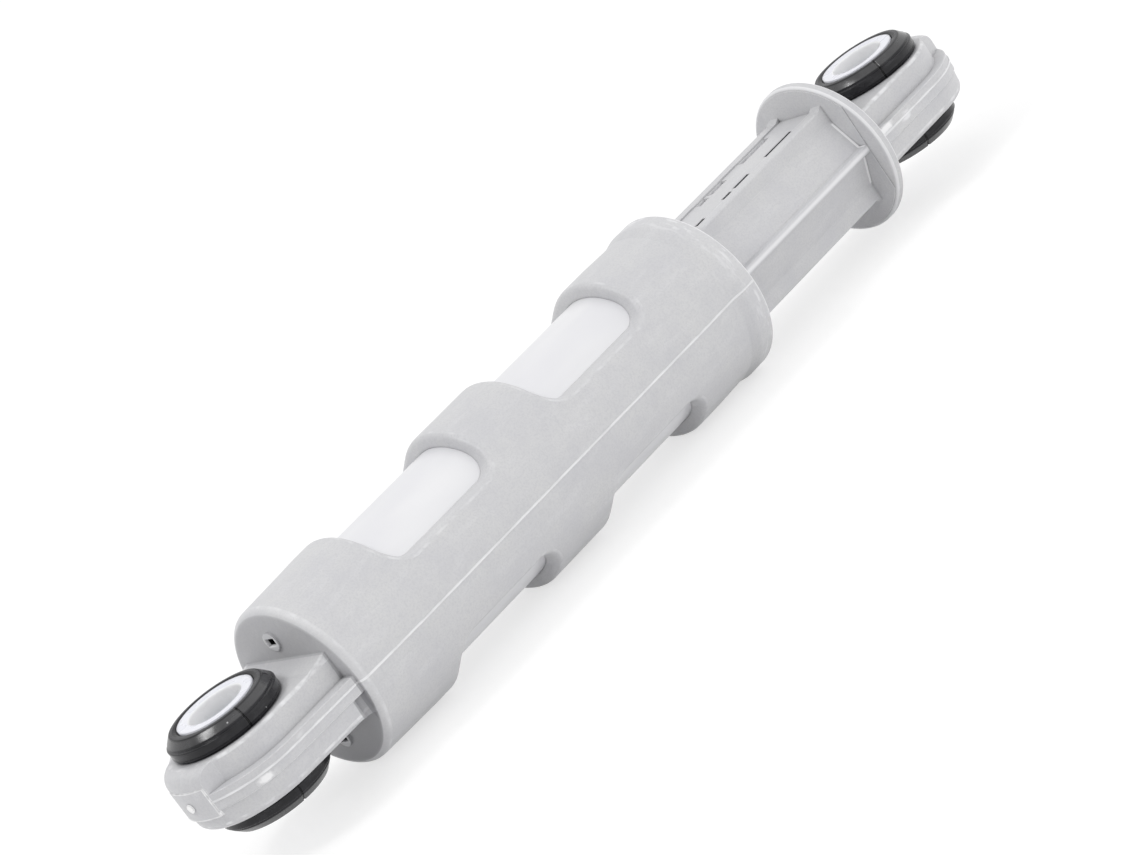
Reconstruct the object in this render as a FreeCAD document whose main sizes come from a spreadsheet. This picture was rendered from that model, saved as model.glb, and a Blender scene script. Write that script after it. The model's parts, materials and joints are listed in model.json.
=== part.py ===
"""Friction shock absorber of a washing machine: a windowed housing, its liner tube and a plunger.

The origin is the middle of the housing eye's bore. +X runs along the damper to the plunger eye,
and +Z runs along both eye bores. All sizes are millimetres.
"""
import FreeCAD, Part
import math
import os
import re
import Sketcher

Vector = FreeCAD.Vector
NEAR = 1e-3

# Driving sizes: name, value, what it is
SIZES = [
    ("eye_spacing", 223.2, "between the two eye bores, as pictured"),
    ("tube_radius", 17.0, "outside of the liner tube"),
    ("tube_wall", 1.0, "wall of the liner tube"),
    ("body_wall", 3.1, "wall of the housing round the tube"),
    ("end_face", 18.3, "closed end of the housing"),
    ("end_floor", 3.5, "thickness of the closed end"),
    ("end_taper", 0.5, "how much the closed end is smaller in radius"),
    ("taper_length", 18.0, "length of that taper"),
    ("end_round", 1.8, "rounding of the closed end's rim"),
    ("mouth", 149.8, "open end of the housing"),
    ("neck_taper", 0.25, "how much the housing narrows behind its collar"),
    ("neck_length", 16.0, "length of that narrowing"),
    ("collar_step", 0.65, "how far the collar stands proud of the neck"),
    ("collar_length", 4.6, "length of the collar"),
    ("collar_ramp", 2.6, "length of the slope up to the collar"),
    ("collar_round", 0.5, "rounding of the collar's rim"),
    ("window_start", 41.8, "near end of the first window"),
    ("window_length", 32.2, "length of each window"),
    ("window_pitch", 51.2, "first window to second window"),
    ("window_sill", 10.0, "half height of the side walls between the windows"),
    ("window_corner", 5.0, "corner radius of a window, seen from the side"),
    ("window_round", 1.5, "rounding of the window's outer edge"),
    ("flash_thickness", 0.4, "thickness of the moulding line"),
    ("flash_height", 0.15, "how far the moulding line stands proud"),
    ("vent_offset", 12.2, "vent holes from the axis"),
    ("vent_width", 2.9, "width of a vent hole"),
    ("vent_height", 1.7, "height of a vent hole"),
    ("vent_boss_radius", 2.2, "boss round a vent hole"),
    ("vent_boss_height", 0.4, "height of that boss"),
    ("eye_radius", 17.0, "outside of both eyes at the moulding line"),
    ("eye_half_height", 6.9, "half height of both eyes"),
    ("eye_recess", 2.7, "how far the upper side wall is set back"),
    ("eye_low_step", 0.3, "how far the lower band is set back"),
    ("eye_edge_round", 0.7, "rounding of the side wall's top edge"),
    ("eye_low_draft", 6.0, "slope of the lower band's face, in degrees"),
    ("eye_low_round", 1.6, "rounding of the eye's lower edge"),
    ("tip_round", 3.0, "rounding of the tip's top edge"),
    ("ledge_height", 1.7, "top of the eye's middle band"),
    ("band_depth", 2.2, "underside of the eye's middle band"),
    ("tip_half_width", 6.4, "half width of the full tip over the ledge"),
    ("tip_root_width", 12.8, "half width of that tip at the eye's middle"),
    ("strap_flare", 0.9, "how much the housing's strap widens at its root"),
    ("ramp_start", 13.0, "where the housing strap's upper face begins to rise"),
    ("ramp_rise", 1.1, "rise of that face at the closed end"),
    ("ramp_low_start", 16.9, "where the strap's lower face begins to fall"),
    ("ramp_low_rise", 0.3, "fall of that face at the closed end"),
    ("root_hollow", 1.5, "radius of the hollows where the strap's lower band meets the closed end"),
    ("strap_sink", 1.0, "how far a strap runs into what carries it"),
    ("bush_seat_radius", 11.8, "bore of both eyes, round the rubber"),
    ("gate_pad_half_width", 6.0, "half width of the gate pad on the tip"),
    ("gate_pad_height", 6.8, "height of the gate pad"),
    ("gate_pad_rise", 0.2, "how far the gate pad stands proud"),
    ("gate_nub_radius", 1.0, "gate nub on the pad"),
    ("gate_nub_height", 0.4, "height of the gate nub"),
    ("guide_wall", 1.75, "wall of the guide bush, inside the liner tube's outside"),
    ("rib_outer", 9.0, "outer face of the four long ribs, from the middle"),
    ("rib_width", 3.3, "width of those ribs"),
    ("rib_height", 3.5, "depth of those ribs' outer faces"),
    ("recess_depth", 0.35, "depth of the field between two ribs"),
    ("side_rib_inset", 0.4, "edge of the two side ribs, inside the rod's largest radius"),
    ("side_rib_depth", 2.1, "depth of the two side ribs"),
    ("side_rib_half", 0.95, "half thickness of the side ribs"),
    ("rod_round", 0.4, "rounding of the ribs' edges"),
    ("rod_bore", 8.6, "radius of the rod's hollow"),
    ("rod_end_wall", 3.0, "wall between the hollow and the flange's face"),
    ("slot_offset", 4.4, "middle of the slots beside the ribs"),
    ("slot_width", 2.0, "width of those slots"),
    ("slot_depth", 2.4, "depth of those slots"),
    ("flange_face", 200.0, "flange's face towards the housing"),
    ("flange_thickness", 2.4, "thickness of the stop flange"),
    ("flange_reach", 2.0, "how far the stop flange stands out past the plunger's eye"),
    ("flange_round", 0.7, "rounding of the flange's rim"),
    ("flange_pad", 0.25, "raised middle field of the flange"),
    ("brace_length", 2.4, "length of the small braces at the flange"),
    ("brace_rise", 0.8, "rise of those braces over the ribs"),
    ("head_front", 106.2, "front face of the plunger's head"),
    ("collar_width", 2.5, "width of each of the head's three collars"),
    ("lining_length", 10.5, "length of each friction lining"),
    ("head_core", 11.4, "radius of the head's core under the linings"),
    ("head_clearance", 0.15, "head's collars to the liner tube"),
    ("lining_clearance", 0.1, "linings to the liner tube, as drawn"),
    ("lining_play", 0.1, "linings to the head's core and collars"),
    ("lining_gap", 0.8, "open joint of each wrapped lining"),
    ("guide_length", 6.0, "length of the guide bush in the mouth"),
    ("guide_clearance", 0.15, "guide bush to the ribbed rod"),
    ("guide_lead", 1.2, "lead-in of the guide bush"),
    ("sleeve_radius", 8.85, "outside of the inner sleeves"),
    ("sleeve_bore", 6.15, "bore of the inner sleeves"),
    ("sleeve_length", 23.2, "length of the inner sleeves"),
    ("sleeve_round", 0.35, "rounding of the bore's edges"),
    ("sleeve_clearance", 0.05, "sleeve to the rubber it turns in"),
    ("rubber_rim_drop", 0.05, "rubber rim under the sleeve's face"),
    ("rubber_rim_width", 2.1, "width of the flat rubber rim"),
    ("rubber_rim_round", 0.35, "rounding of that rim's outer edge"),
    ("rubber_flange", 12.85, "widest radius of the rubber"),
    ("rubber_shoulder", 12.3, "radius at the foot of the rubber's cone"),
    ("rubber_band", 2.55, "height of the rubber's widest band"),
    ("rubber_cone", 0.5, "step between that band and the cone"),
    ("rubber_foot_round", 0.7, "rounding of the widest band's lower edge"),
]

# Slots beside the ribs: distance of the end nearer the housing from the flange's face, and length
SLOTS = [(16.9, 9.9), (28.7, 5.5), (32.9, 3.1), (42.8, 3.1)]

doc = FreeCAD.newDocument("shock_absorber")
sheet = doc.addObject("Spreadsheet::Sheet", "Sizes")
for row, (alias, value, note) in enumerate(SIZES, start=1):
    sheet.set(f"A{row}", alias)
    sheet.set(f"B{row}", str(value))
    sheet.set(f"C{row}", note)
    sheet.setAlias(f"B{row}", alias)
for letter, (start, length) in zip("abcd", SLOTS):
    row += 1
    sheet.set(f"A{row}", f"slot {letter}")
    sheet.set(f"B{row}", str(start))
    sheet.set(f"C{row}", str(length))
    sheet.setAlias(f"B{row}", f"slot_start_{letter}")
    sheet.setAlias(f"C{row}", f"slot_length_{letter}")
doc.recompute()

# Sizes that follow from the driving ones
BODY = "(tube_radius + body_wall)"
TUBE_BORE = "(tube_radius - tube_wall)"
FLOOR = "(end_face + end_floor)"
TUBE_END = "(mouth - guide_length)"
NECK = f"({BODY} - neck_taper)"
COLLAR = f"({NECK} + collar_step)"
SIDE_WALL = "(eye_radius - eye_recess)"
LOW_BAND = "(eye_radius - eye_low_step)"
GUIDE_BORE = "(tube_radius - guide_wall)"
ENVELOPE = f"({GUIDE_BORE} - guide_clearance)"
SIDE_RIB = f"({ENVELOPE} - side_rib_inset)"
RIB_TOP = f"sqrt({ENVELOPE} ^ 2 - rib_outer ^ 2)"
FIELD = f"({RIB_TOP} - recess_depth)"
FLANGE_BACK = "(flange_face + flange_thickness)"
FLANGE = "(eye_radius + flange_reach)"
HEAD_COLLAR = f"({TUBE_BORE} - head_clearance)"
LINING = f"({TUBE_BORE} - lining_clearance)"
SEAT_LENGTH = "(lining_length + 2 * lining_play)"
HEAD_LENGTH = f"(3 * collar_width + 2 * {SEAT_LENGTH})"
HEAD_BACK = f"(head_front - {HEAD_LENGTH})"
HALF_SLEEVE = "(sleeve_length / 2)"
RUBBER_TOP = f"({HALF_SLEEVE} - rubber_rim_drop)"
RUBBER_BORE = "(sleeve_radius + sleeve_clearance)"

WORD = re.compile(r"\b(?!pi\b)[a-z][a-z_]*\b(?!\()")


def bound(text):
    """The expression with every size name read from the sheet."""
    return WORD.sub(lambda match: "Sizes." + match.group(0), text)


def number(text):
    """The expression's value now, in millimetres."""
    return float(sheet.evalExpression(text))


def new_body(label, place="0"):
    """An empty body whose label names its file, moved along the damper to its place."""
    body = doc.addObject("PartDesign::Body", "Body_" + label)
    body.Label = label
    body.Placement = FreeCAD.Placement(Vector(number(place), 0, 0), FreeCAD.Rotation())
    if place != "0":
        body.setExpression("Placement.Base.x", bound(place))
    return body


def new_sketch(body, name, plane="XY_Plane", offset="0"):
    """A sketch on one of the body's own planes, moved along the plane's normal by offset."""
    sketch = body.newObject("Sketcher::SketchObject", f"{body.Label}_{name}")
    support = [part for part in body.Origin.OriginFeatures if part.Role == plane][0]
    sketch.AttachmentSupport = (support, [""])
    sketch.MapMode = "FlatFace"
    if offset != "0":
        sketch.setExpression("AttachmentOffset.Base.z", bound(offset))
    return sketch


def add_distance(sketch, kind, geometry, end, text):
    """Binds a point's distance from the sketch's origin along one of its axes."""
    name = f"{kind}_{geometry + 1}_{end}"
    index = sketch.addConstraint(Sketcher.Constraint(kind, -1, 1, geometry, end, number(text)))
    sketch.renameConstraint(index, name)
    sketch.setExpression(f"Constraints.{name}", bound(text))


def pin_point(sketch, geometry, end, x, y):
    """Fixes one point of a sketch at the two expressions."""
    for kind, axis, text in (("DistanceX", -2, x), ("DistanceY", -1, y)):
        if text == "0":
            sketch.addConstraint(Sketcher.Constraint("PointOnObject", geometry, end, axis))
        else:
            add_distance(sketch, kind, geometry, end, text)


def add_radius(sketch, geometry, radius):
    """Binds the radius of a circle or an arc."""
    index = sketch.addConstraint(Sketcher.Constraint("Radius", geometry, number(radius)))
    sketch.renameConstraint(index, f"Radius_{geometry + 1}")
    sketch.setExpression(f"Constraints.Radius_{geometry + 1}", bound(radius))


def draw_polygon(sketch, points):
    """A closed outline through the points, each a pair of expressions."""
    places = [Vector(number(x), number(y), 0) for x, y in points]
    first = sketch.GeometryCount
    count = len(points)
    for i in range(count):
        sketch.addGeometry(Part.LineSegment(places[i], places[(i + 1) % count]), False)
    for i in range(count):
        following = first + (i + 1) % count
        sketch.addConstraint(Sketcher.Constraint("Coincident", first + i, 2, following, 1))
    for i, (x, y) in enumerate(points):
        pin_point(sketch, first + i, 1, x, y)
    return sketch


def draw_circle(sketch, radius, x="0", y="0"):
    """A circle about a point given by two expressions."""
    middle = Vector(number(x), number(y), 0)
    circle = sketch.addGeometry(Part.Circle(middle, Vector(0, 0, 1), number(radius)), False)
    if x == "0" and y == "0":
        sketch.addConstraint(Sketcher.Constraint("Coincident", circle, 3, -1, 1))
    else:
        pin_point(sketch, circle, 3, x, y)
    add_radius(sketch, circle, radius)
    return sketch


def draw_strap(sketch, radius, root, half_width, middle="0"):
    """A round eye about middle on the X axis, with two sides tangent to it that end at the root."""
    centre = number(middle)
    size = number(radius)
    reach = number(root) - centre
    side = math.copysign(1, reach)
    width = number(half_width)
    lean = math.atan2(width, abs(reach)) + math.acos(min(1, size / math.hypot(reach, width)))
    first = lean if side > 0 else lean - math.pi
    circle = Part.Circle(Vector(centre, 0, 0), Vector(0, 0, 1), size)
    last = 2 * math.pi - lean if side > 0 else math.pi - lean
    arc = sketch.addGeometry(Part.ArcOfCircle(circle, first, last), False)
    tips = [Vector(centre + size * math.cos(a), size * math.sin(a), 0) for a in (first, last)]
    corners = [Vector(number(root), side * width, 0), Vector(number(root), -side * width, 0)]
    line_in = sketch.addGeometry(Part.LineSegment(corners[0], tips[0]), False)
    line_out = sketch.addGeometry(Part.LineSegment(tips[1], corners[1]), False)
    close = sketch.addGeometry(Part.LineSegment(corners[1], corners[0]), False)
    sketch.addConstraint(Sketcher.Constraint("Tangent", line_in, 2, arc, 1))
    sketch.addConstraint(Sketcher.Constraint("Tangent", arc, 2, line_out, 1))
    sketch.addConstraint(Sketcher.Constraint("Coincident", line_out, 2, close, 1))
    sketch.addConstraint(Sketcher.Constraint("Coincident", close, 2, line_in, 1))
    pin_point(sketch, arc, 3, middle, "0")
    add_radius(sketch, arc, radius)
    sign = "" if side > 0 else "-"
    other = "-" if side > 0 else ""
    pin_point(sketch, line_in, 1, root, f"{sign}({half_width})")
    pin_point(sketch, line_out, 2, root, f"{other}({half_width})")
    return sketch


def draw_tip(sketch, radius, half_width, root_width, middle, side):
    """The outer slice of an eye: a round end between two slanted sides, closed at the eye's middle."""
    centre = number(middle)
    size = number(radius)
    wide = side * number(root_width)
    spread = math.asin(number(half_width) / size)
    first = math.pi - spread if side < 0 else -spread
    circle = Part.Circle(Vector(centre, 0, 0), Vector(0, 0, 1), size)
    arc = sketch.addGeometry(Part.ArcOfCircle(circle, first, first + 2 * spread), False)
    tips = [Vector(centre + size * math.cos(a), size * math.sin(a), 0) for a in (first, first + 2 * spread)]
    corners = [Vector(centre, -wide, 0), Vector(centre, wide, 0)]
    line_in = sketch.addGeometry(Part.LineSegment(corners[0], tips[0]), False)
    line_out = sketch.addGeometry(Part.LineSegment(tips[1], corners[1]), False)
    close = sketch.addGeometry(Part.LineSegment(corners[1], corners[0]), False)
    sketch.addConstraint(Sketcher.Constraint("Coincident", line_in, 2, arc, 1))
    sketch.addConstraint(Sketcher.Constraint("Coincident", arc, 2, line_out, 1))
    sketch.addConstraint(Sketcher.Constraint("Coincident", line_out, 2, close, 1))
    sketch.addConstraint(Sketcher.Constraint("Coincident", close, 2, line_in, 1))
    pin_point(sketch, arc, 3, middle, "0")
    add_radius(sketch, arc, radius)
    for line, start, arc_end, sign in ((line_in, 1, 1, -side), (line_out, 2, 2, side)):
        mark = "" if sign > 0 else "-"
        pin_point(sketch, line, start, middle, f"{mark}({root_width})")
        add_distance(sketch, "DistanceY", arc, arc_end, f"{mark}({half_width})")
    return sketch


def draw_window(sketch, start, length, sill, top, corner, side):
    """A slot open upwards, or downwards with side -1, with two round corners at its sill."""
    end = f"({start} + {length})"
    sign = "" if side > 0 else "-"
    inner = f"({sill} + {corner})"
    corners = [(start, top), (start, inner), (f"({start} + {corner})", sill),
               (f"({end} - {corner})", sill), (end, inner), (end, top)]
    points = [(x, f"{sign}({z})") for x, z in corners]
    places = [Vector(number(x), number(z), 0) for x, z in points]
    size = number(corner)
    lines = []
    for i, j in ((0, 1), (2, 3), (4, 5), (5, 0)):
        lines.append(sketch.addGeometry(Part.LineSegment(places[i], places[j]), False))
    turns = []
    for i, j, x in ((1, 2, places[2].x), (3, 4, places[3].x)):
        middle = Vector(x, places[1].y, 0)
        spokes = [places[k] - middle for k in (i, j)]
        angles = sorted(math.atan2(spoke.y, spoke.x) % (2 * math.pi) for spoke in spokes)
        if angles[1] - angles[0] > math.pi:
            angles = [angles[1], angles[0] + 2 * math.pi]
        circle = Part.Circle(middle, Vector(0, 0, 1), size)
        arc = sketch.addGeometry(Part.ArcOfCircle(circle, angles[0], angles[1]), False)
        start_place = middle + Vector(size * math.cos(angles[0]), size * math.sin(angles[0]), 0)
        swapped = start_place.distanceToPoint(places[i]) > start_place.distanceToPoint(places[j])
        turns.append((arc, 2 if swapped else 1, 1 if swapped else 2))
    joins = [(lines[0], 2, turns[0][0], turns[0][1]), (turns[0][0], turns[0][2], lines[1], 1),
             (lines[1], 2, turns[1][0], turns[1][1]), (turns[1][0], turns[1][2], lines[2], 1),
             (lines[2], 2, lines[3], 1), (lines[3], 2, lines[0], 1)]
    for join in joins:
        sketch.addConstraint(Sketcher.Constraint("Coincident", *join))
    for line, end_number, point in ((0, 1, 0), (0, 2, 1), (1, 1, 2), (1, 2, 3), (2, 1, 4), (2, 2, 5)):
        pin_point(sketch, lines[line], end_number, *points[point])
    for arc, _, _ in turns:
        add_radius(sketch, arc, corner)
    return sketch


def draw_field(sketch, radius, half_width):
    """A disc about the middle with its two sides cut off, upright."""
    size = number(radius)
    width = number(half_width)
    spread = math.asin(width / size)
    circle = Part.Circle(Vector(0, 0, 0), Vector(0, 0, 1), size)
    up = math.pi / 2
    top = sketch.addGeometry(Part.ArcOfCircle(circle, up - spread, up + spread), False)
    low = sketch.addGeometry(Part.ArcOfCircle(circle, -up - spread, -up + spread), False)
    height = size * math.cos(spread)
    left = sketch.addGeometry(Part.LineSegment(Vector(-width, height, 0), Vector(-width, -height, 0)), False)
    right = sketch.addGeometry(Part.LineSegment(Vector(width, -height, 0), Vector(width, height, 0)), False)
    for join in ((top, 2, left, 1), (left, 2, low, 1), (low, 2, right, 1), (right, 2, top, 1)):
        sketch.addConstraint(Sketcher.Constraint("Coincident", *join))
    for arc in (top, low):
        sketch.addConstraint(Sketcher.Constraint("Coincident", arc, 3, -1, 1))
        add_radius(sketch, arc, radius)
    for line, sign in ((left, "-"), (right, "")):
        sketch.addConstraint(Sketcher.Constraint("Vertical", line))
        add_distance(sketch, "DistanceX", line, 1, f"{sign}({half_width})")
    return sketch


def extrude(kind, body, sketch, length, name, side="One side", back=False):
    """A pad or pocket of the sketch, by an expression's length or right through."""
    feature = body.newObject(f"PartDesign::{kind}", f"{body.Label}_{name}")
    feature.Profile = sketch
    feature.SideType = side
    feature.Reversed = back
    if length == "through":
        feature.Type = "ThroughAll"
    else:
        feature.setExpression("Length", bound(length))
    sketch.Visibility = False
    return feature


def turn(body, sketch, axis, name, angle="360"):
    """A solid of revolution about one of the sketch's own axes."""
    feature = body.newObject("PartDesign::Revolution", f"{body.Label}_{name}")
    feature.Profile = sketch
    feature.ReferenceAxis = (sketch, [axis])
    feature.setExpression("Angle", bound(angle))
    sketch.Visibility = False
    return feature


def edges_where(feature, test):
    """Names of the feature's edges that pass the test."""
    return [f"Edge{i}" for i, edge in enumerate(feature.Shape.Edges, start=1) if test(edge)]


def round_edges(body, feature, test, radius, name):
    """A fillet on the feature's edges that pass the test."""
    doc.recompute()
    fillet = body.newObject("PartDesign::Fillet", f"{body.Label}_{name}")
    fillet.Base = (feature, edges_where(feature, test))
    fillet.setExpression("Radius", bound(radius))
    body.Tip = fillet
    return fillet


def is_close(a, b):
    """True where two lengths agree."""
    return abs(a - b) < NEAR


def is_ring(edge, axis, place, radius):
    """True for a circle about the given main axis, at the place along it."""
    curve = edge.Curve
    if not isinstance(curve, Part.Circle):
        return False
    centre = curve.Center
    along = getattr(centre, axis)
    return is_close(along, number(place)) and is_close(curve.Radius, number(radius))


def spans(edge, axis, low, high):
    """True where the edge lies between two places along the axis."""
    box = edge.BoundBox
    name = axis.upper()
    return getattr(box, name + "Min") > low - NEAR and getattr(box, name + "Max") < high + NEAR


def add_eye(body, middle, root, root_width, side, end="", ramps=()):
    """The stepped eye and its strap, with side -1 where the tip points to -X.

    A strap may thicken up to its end, above and then below: each ramp is where it starts, and its rise.
    """
    height, depth = (f"(eye_half_height + {rise})" for start, rise in (ramps or (("", "0"), ("", "0"))))

    def strap(name, radius, half_width, offset, length, back=False, how="One side"):
        """One layer of the eye with its strap."""
        sketch = new_sketch(body, name + "_outline", offset=offset)
        draw_strap(sketch, radius, root, half_width, middle)
        return extrude("Pad", body, sketch, length, name, how, back)

    strap("middle_band", "eye_radius", root_width, "(-band_depth)", "band_depth + ledge_height")
    low_band = strap("low_band", LOW_BAND, f"({root_width} - eye_low_step)", "(-band_depth)",
                     f"{depth} - band_depth", back=True)
    low_band.setExpression("TaperAngle", "-" + bound("eye_low_draft"))
    last = strap("side_wall", SIDE_WALL, SIDE_WALL, "ledge_height", f"{height} - ledge_height")
    if ramps:
        cut = new_sketch(body, "ramp_outline", "XZ_Plane")
        for sign, (start, rise) in zip(("", "-"), ramps):
            far = f"({middle} + {side} * 2 * eye_radius)"
            full = f"(eye_half_height + {rise}"
            draw_polygon(cut, [
                (far, f"{sign}(eye_half_height)"), (start, f"{sign}(eye_half_height)"), (end, f"{sign}{full})"),
                (end, f"{sign}{full} + strap_sink)"), (far, f"{sign}{full} + strap_sink)")])
        last = extrude("Pocket", body, cut, "through", "ramp", "Symmetric")
    high = number("eye_half_height")

    def is_arc(edge, height, radius=None):
        """True for an arc at the height, of the radius where one is given."""
        curve = edge.Curve
        round_edge = isinstance(curve, Part.Circle) and spans(edge, "z", height, height)
        return round_edge and (radius is None or is_close(curve.Radius, number(radius)))

    last = round_edges(body, last, lambda edge: is_arc(edge, -high), "eye_low_round", "low_rounding")
    round_edges(body, last, lambda edge: is_arc(edge, high, SIDE_WALL), "eye_edge_round", "edge_rounding")
    tip_sketch = new_sketch(body, "tip_outline", offset="ledge_height")
    draw_tip(tip_sketch, "eye_radius", "tip_half_width", "tip_root_width", middle, side)
    tip = extrude("Pad", body, tip_sketch, "eye_half_height - ledge_height", "tip")
    round_edges(body, tip, lambda edge: is_arc(edge, high, "eye_radius"), "tip_round", "tip_rounding")
    strap("eye_flash", "(eye_radius + flash_height)", f"({root_width} + flash_height)", "0",
          "flash_thickness", how="Symmetric")


def cut_bush_seat(body, middle):
    """The eye's bore, which holds the rubber bush."""
    sketch = new_sketch(body, "bush_seat_circle")
    draw_circle(sketch, "bush_seat_radius", middle, "0")
    return extrude("Pocket", body, sketch, "through", "bush_seat", "Symmetric")


def make_housing():
    """The moulded body: closed end with its eye, four windows and the collar at the mouth."""
    body = new_body("housing")
    end_radius = f"({BODY} - end_taper)"
    taper_end = "(end_face + taper_length)"
    neck_start = "(mouth - neck_length)"
    collar_start = "(mouth - collar_length)"

    profile = new_sketch(body, "profile")
    draw_polygon(profile, [
        ("end_face", "0"), ("end_face", end_radius), (taper_end, BODY), (neck_start, BODY),
        (f"({collar_start} - collar_ramp)", NECK), (collar_start, COLLAR), ("mouth", COLLAR), ("mouth", "0")])
    shell = turn(body, profile, "H_Axis", "shell")
    shell = round_edges(body, shell, lambda edge: is_ring(edge, "x", "end_face", end_radius),
                        "end_round", "end_rounding")
    shell = round_edges(body, shell, lambda edge: is_ring(edge, "x", "mouth", COLLAR),
                        "collar_round", "collar_rounding")

    flash = new_sketch(body, "flash_outline")
    edge_line = [("(end_face + end_round)", end_radius), (taper_end, BODY), (neck_start, BODY),
                 (f"({collar_start} - collar_ramp)", NECK), (collar_start, COLLAR),
                 ("(mouth - collar_round)", COLLAR)]
    upper = [(x, f"({y} + flash_height)") for x, y in edge_line]
    draw_polygon(flash, upper + [(x, f"(-{y})") for x, y in reversed(upper)])
    extrude("Pad", body, flash, "flash_thickness", "flash", "Symmetric")

    root = "(end_face + strap_sink)"
    add_eye(body, "0", root, "(eye_radius + strap_flare)", -1, "end_face",
            (("ramp_start", "ramp_rise"), ("ramp_low_start", "ramp_low_rise")))

    gate = new_sketch(body, "gate_outline")
    draw_tip(gate, "(eye_radius + gate_pad_rise)", "gate_pad_half_width", "gate_pad_half_width", "0", -1)
    extrude("Pad", body, gate, "gate_pad_height", "gate_pad", "Symmetric")
    nub = new_sketch(body, "nub_outline", "YZ_Plane", "(-eye_radius - gate_pad_rise - gate_nub_height)")
    draw_circle(nub, "gate_nub_radius")
    extrude("Pad", body, nub, "gate_nub_height + strap_sink", "gate_nub")

    hollow = new_sketch(body, "root_hollow_outline", offset="(-band_depth)")
    for sign in ("", "-"):
        draw_circle(hollow, "root_hollow", "(end_face + flash_height - root_hollow)",
                    f"{sign}(eye_radius + strap_flare)")
    extrude("Pocket", body, hollow, "2 * eye_half_height", "root_hollows")

    boss = new_sketch(body, "vent_boss_outline", "YZ_Plane", "(end_face - vent_boss_height)")
    for sign in ("", "-"):
        draw_circle(boss, "vent_boss_radius", "0", f"{sign}(vent_offset)")
    extrude("Pad", body, boss, "vent_boss_height + strap_sink", "vent_bosses")

    cut_bush_seat(body, "0")
    bore = new_sketch(body, "bore_circle", "YZ_Plane", FLOOR)
    draw_circle(bore, "tube_radius")
    extrude("Pocket", body, bore, "through", "bore", back=True)

    vent = new_sketch(body, "vent_outline", "YZ_Plane", "(end_face - vent_boss_height)")
    for sign in ("", "-"):
        draw_polygon(vent, [(f"{a}(vent_width / 2)", f"({sign}(vent_offset) {b} vent_height / 2)")
                            for a, b in (("-", "-"), ("", "-"), ("", "+"), ("-", "+"))])
    extrude("Pocket", body, vent, "vent_boss_height + end_floor + strap_sink", "vents", back=True)

    window = new_sketch(body, "window_outline", "XZ_Plane")
    for side in (1, -1):
        draw_window(window, "window_start", "window_length", "window_sill", f"({BODY} + strap_sink)",
                    "window_corner", side)
    cut = extrude("Pocket", body, window, "through", "window", "Symmetric")
    pattern = body.newObject("PartDesign::LinearPattern", "housing_windows")
    pattern.Originals = [cut]
    pattern.Direction = (window, ["H_Axis"])
    pattern.setExpression("Length", bound("window_pitch"))
    pattern.Occurrences = 2
    body.Tip = pattern
    doc.recompute()

    outer = number(BODY)
    first = number("window_start")
    last = first + number("window_pitch") + number("window_length")

    def on_outer_rim(edge):
        """True for an edge where a window cuts the outside of the body."""
        if not spans(edge, "x", first, last):
            return False
        points = edge.discretize(Number=5)
        return all(is_close(math.hypot(point.y, point.z), outer) for point in points)

    def cuts_window(edge):
        """True for such an edge above the side walls' sill."""
        box = edge.BoundBox
        sill = number("window_sill")
        return on_outer_rim(edge) and (box.ZMin > sill - NEAR or box.ZMax < -sill + NEAR)

    round_edges(body, pattern, cuts_window, "window_round", "window_rounding")
    return body


def make_tube():
    """The smooth liner that the friction linings rub on."""
    body = new_body("liner_tube")
    profile = new_sketch(body, "profile")
    draw_polygon(profile, [(FLOOR, TUBE_BORE), (FLOOR, "tube_radius"), (TUBE_END, "tube_radius"),
                           (TUBE_END, TUBE_BORE)])
    turn(body, profile, "H_Axis", "wall")
    return body


def make_guide():
    """The bush in the mouth that guides the ribbed rod and stops the plunger's head."""
    body = new_body("guide_bush")
    profile = new_sketch(body, "profile")
    draw_polygon(profile, [(TUBE_END, GUIDE_BORE), (TUBE_END, "tube_radius"), ("mouth", "tube_radius"),
                           ("mouth", f"({GUIDE_BORE} + guide_lead)"), ("(mouth - guide_lead)", GUIDE_BORE)])
    turn(body, profile, "H_Axis", "ring")
    return body


def rod_section():
    """The ribbed rod's outline in the YZ plane, all the way round."""
    inner = "(rib_outer - rib_width)"
    quarter = [
        ("0", FIELD), (inner, FIELD), (inner, RIB_TOP), ("rib_outer", RIB_TOP),
        ("rib_outer", f"({RIB_TOP} - rib_height)"), (f"({SIDE_RIB} - side_rib_depth)", "side_rib_half"),
        (SIDE_RIB, "side_rib_half")]
    outline = quarter + [(y, f"(-{z})") for y, z in reversed(quarter)]
    return outline + [(f"(-{y})", z) for y, z in reversed(outline[1:-1])]


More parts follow.
